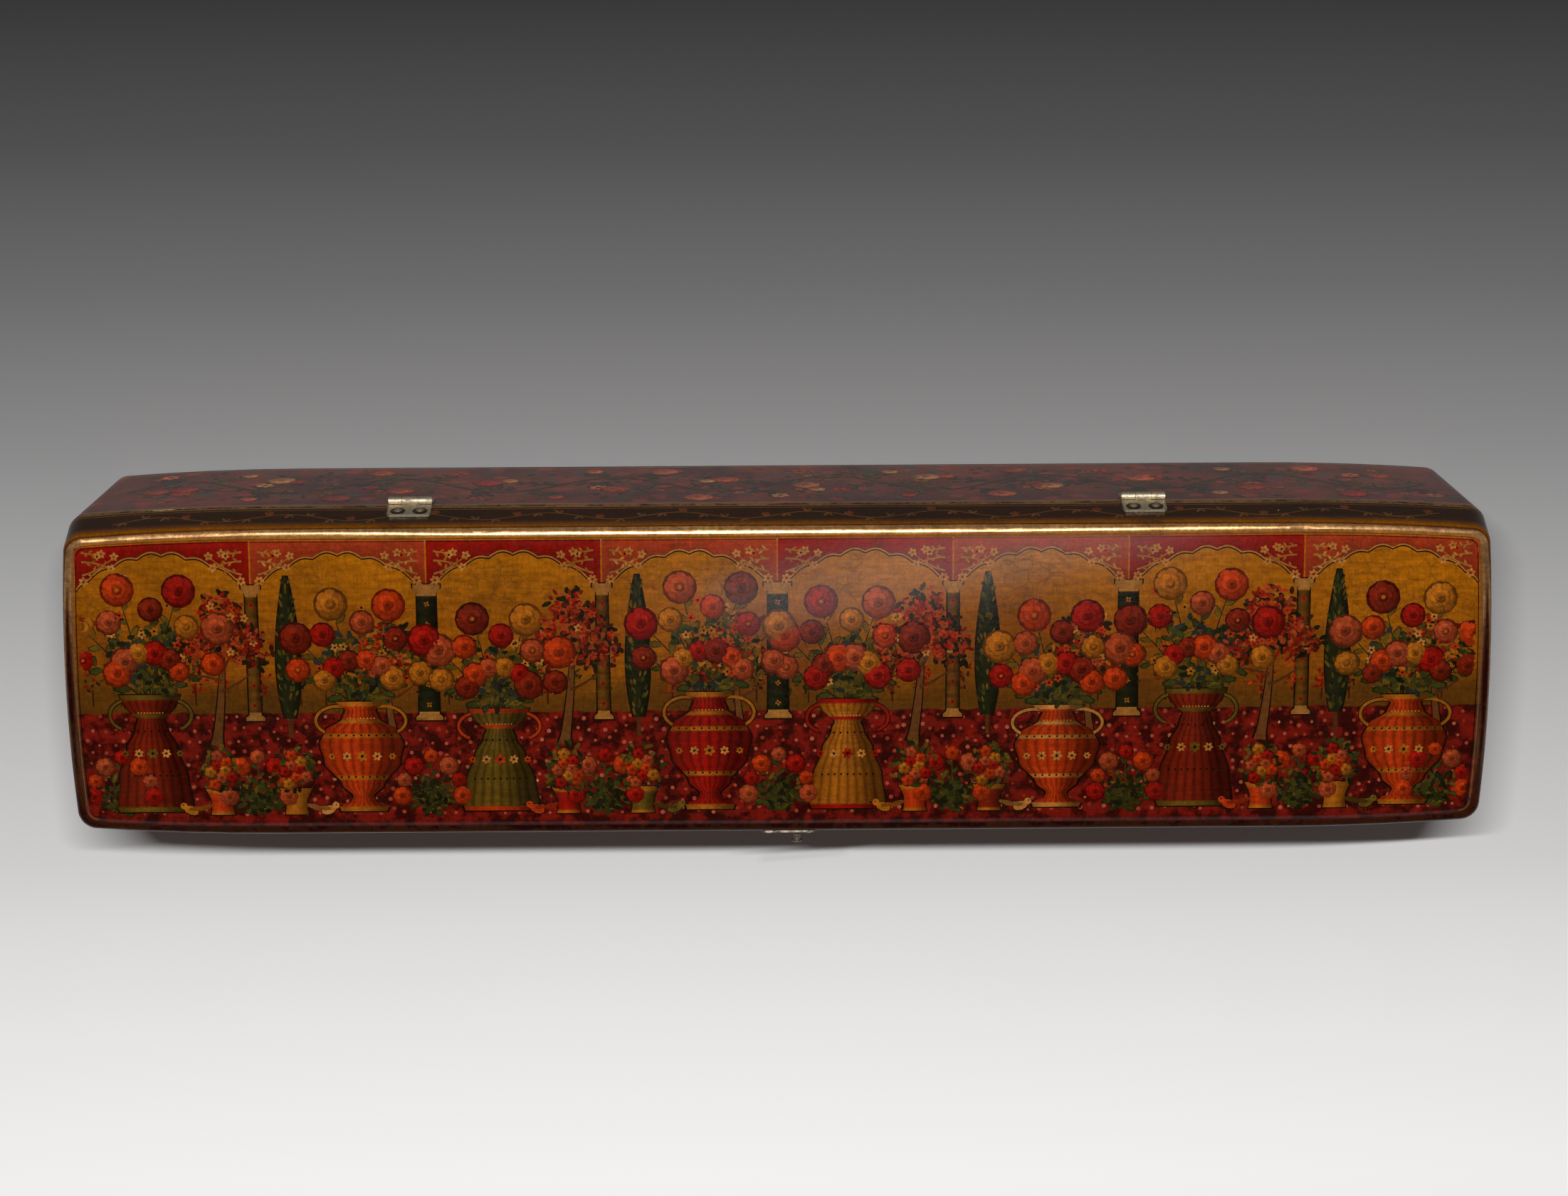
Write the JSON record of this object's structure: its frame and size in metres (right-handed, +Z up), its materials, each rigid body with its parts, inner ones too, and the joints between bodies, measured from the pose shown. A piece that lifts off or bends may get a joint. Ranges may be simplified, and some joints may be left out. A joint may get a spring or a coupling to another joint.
{
  "type": "lacquer pen box",
  "caption": "Long hinged box of painted and varnished papier mache, with a crowned lid, two butt hinges at the back and a hook catch at the front, for holding pens.",
  "frame": {"origin": "centre of the underside of the body, on the surface that the box stands on", "axes": "+Z up through the lid, +X along the length of the box, +Y towards the hinges, so the catch is on the -Y side"},
  "size_m": [0.36, 0.0896, 0.0668],
  "materials": {
    "lacquer_body": "gloss varnish over paint",
    "lacquer_lid": "gloss varnish over paint",
    "lacquer_inside": "satin lacquer",
    "hinge_metal": "tarnished, worn plating",
    "catch_metal": "tarnished",
    "nail_metal": "tarnished, worn domes"
  },
  "bodies": {
    "body": {"body_shell": "lacquer_body", "body_lip": "lacquer_inside", "hinge_left_body_leaf": "hinge_metal", "hinge_left_pin": "hinge_metal", "hinge_left_body_nail_1": "nail_metal", "hinge_left_body_nail_2": "nail_metal", "hinge_right_body_leaf": "hinge_metal", "hinge_right_pin": "hinge_metal", "hinge_right_body_nail_1": "nail_metal", "hinge_right_body_nail_2": "nail_metal", "catch_body_plate": "catch_metal", "catch_body_nail_1": "nail_metal", "catch_body_nail_2": "nail_metal", "hook_pivot": "catch_metal"},
    "lid": {"lid_shell": "lacquer_lid", "hinge_left_lid_leaf": "hinge_metal", "hinge_left_lid_nail_1": "nail_metal", "hinge_left_lid_nail_2": "nail_metal", "hinge_right_lid_leaf": "hinge_metal", "hinge_right_lid_nail_1": "nail_metal", "hinge_right_lid_nail_2": "nail_metal", "catch_lid_plate": "catch_metal", "catch_lid_stud": "catch_metal", "catch_lid_nail_1": "nail_metal", "catch_lid_nail_2": "nail_metal"},
    "hook": {"hook": "catch_metal"}
  },
  "joints": [
    {"name": "lid_swing", "type": "hinge", "parent": "body", "child": "lid", "pos_m": [0, 0.04375, 0.052], "axis": [-1, 0, 0], "range_deg": [0, 180]},
    {"name": "hook_turn", "type": "hinge", "parent": "body", "child": "hook", "pos_m": [0.0025, -0.04375, 0.044], "axis": [0, 1, 0], "range_deg": [0, 180]}
  ]
}
